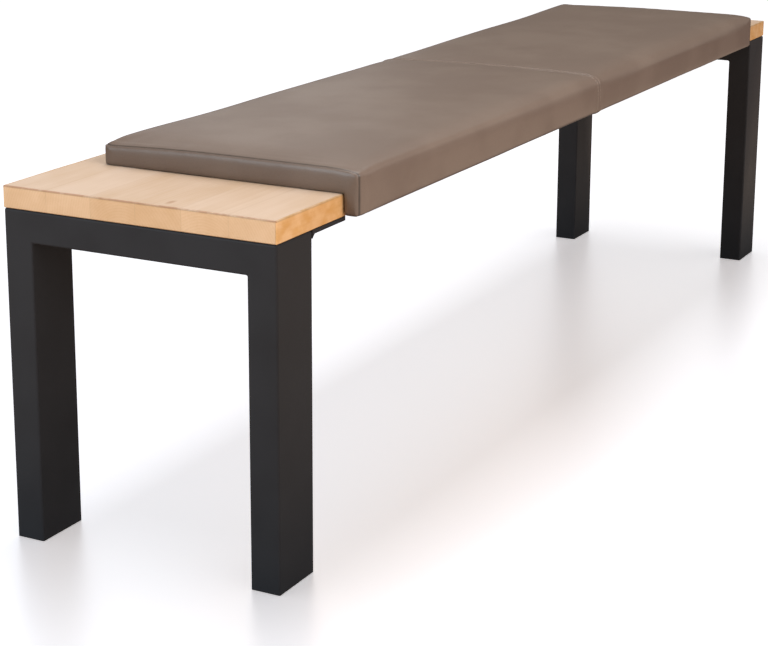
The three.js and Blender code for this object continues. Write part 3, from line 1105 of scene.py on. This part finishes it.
# Painted shade along the seam where the panel meets the cover.
crease_shade = panel.data.attributes.new("crease_shade", "FLOAT", "POINT")
for vertex, value in zip(panel.data.vertices, crease_shade.data):
    value.value = bell(vertex.co.x + panel_seam, 0.0012)
edit(panel)
pick(panel, "EDGE", lambda edge: edge.is_boundary)
bpy.ops.mesh.edge_face_add()
bpy.ops.mesh.select_all(action="SELECT")
bpy.ops.mesh.normals_make_consistent(inside=False)
leave_edit()
finish_surface(panel, leather, smooth_angle=60)

panels = {"left": panel, "right": mirrored(panel, "end_panel_right")}
for side, panel in panels.items():
    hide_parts(f"cushion_end_{side}")
    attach(panel, "root")


# Topstitching: two rows of pale thread beside the middle seam, from the lip's lower edge over the
# front and the top to the back. Every stitch lies in the skin and dips at both ends.
THREAD = 0.0008
THREAD_PROUD = 0.15
THREAD_PALE = (0.29, 0.22, 0.175, 1)
THREAD_DEEP = (0.22, 0.165, 0.13, 1)
STITCH_LENGTH = 0.0043
STITCH_END = reaches[-1] - (COVER_BACK - LIP_INNER) - 0.0044

bpy.ops.object.select_all(action="DESELECT")
bpy.ops.mesh.primitive_uv_sphere_add(segments=8, ring_count=6, radius=THREAD / 2)
stitch = bpy.context.object
edit(stitch)
for way in (-1, 1):
    pick(stitch, "VERT", lambda vert: vert.co.z * way > THREAD / 20)
    bpy.ops.transform.translate(value=(0, 0, way * (STITCH_LENGTH - THREAD) / 2))
pick(stitch, "VERT", lambda vert: abs(vert.co.z) < THREAD / 20)
bpy.ops.transform.translate(value=(THREAD / 4, 0, 0))
leave_edit()


def on_cover(x, reach):
    """The cover's surface at a reach round the outline, and its normal there."""
    index = max(i for i in range(len(cover_line)) if reaches[i] <= reach)
    share = (reach - reaches[index]) / (reaches[index + 1] - reaches[index])
    point = cover_line[index].lerp(cover_line[(index + 1) % len(cover_line)], share)
    found, place, normal, face = cover.closest_point_on_mesh(fitted(Vector((x, point.y, point.z))))
    return place, normal


bpy.context.view_layer.update()
stitches = []
for x in (-STITCH_ROW, STITCH_ROW):
    reach = STITCH_START
    while reach < STITCH_END:
        first, first_normal = on_cover(x, reach - STITCH_LENGTH / 2)
        last, last_normal = on_cover(x, reach + STITCH_LENGTH / 2)
        along = (last - first).normalized()
        up = (first_normal + last_normal).normalized()
        sideways = along.cross(up).normalized()
        up = sideways.cross(along)
        turn = Matrix((up, sideways, along)).transposed().to_4x4()
        copy = stitch.copy()
        copy.data = stitch.data.copy()
        bpy.context.collection.objects.link(copy)
        copy.matrix_world = Matrix.Translation((first + last) / 2 + up * THREAD * THREAD_PROUD) @ turn
        stitches.append(copy)
        reach += STITCH_PITCH
bpy.data.objects.remove(stitch)
bpy.data.objects.remove(outline)
activate(stitches[0])
for copy in stitches:
    copy.select_set(True)
bpy.ops.object.join()
bpy.ops.object.transform_apply()
topstitching = bpy.context.object
topstitching.name = "topstitching"


def sewing_thread():
    """Pale polyester thread with the twist of its plies."""
    made, tree, shader = new_material("pale_thread", Specular_IOR_Level=0.4)
    point = object_point(tree)
    finish = place_effect(
        tree, CLOUDY, Point=point, Scale=2600, Detail=1, Light=THREAD_PALE, Dark=THREAD_DEEP,
        From=0.3, To=0.7, Smooth=0.5, Rough=0.6,
    )
    tree.links.new(finish["Color"], shader.inputs["Base Color"])
    tree.links.new(finish["Roughness"], shader.inputs["Roughness"])
    tree.links.new(bump(tree, mottle(tree, point, 2600, 1.0), 0.00008), shader.inputs["Normal"])
    return made


finish_surface(topstitching, sewing_thread(), smooth_angle=80)
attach(topstitching, "root")
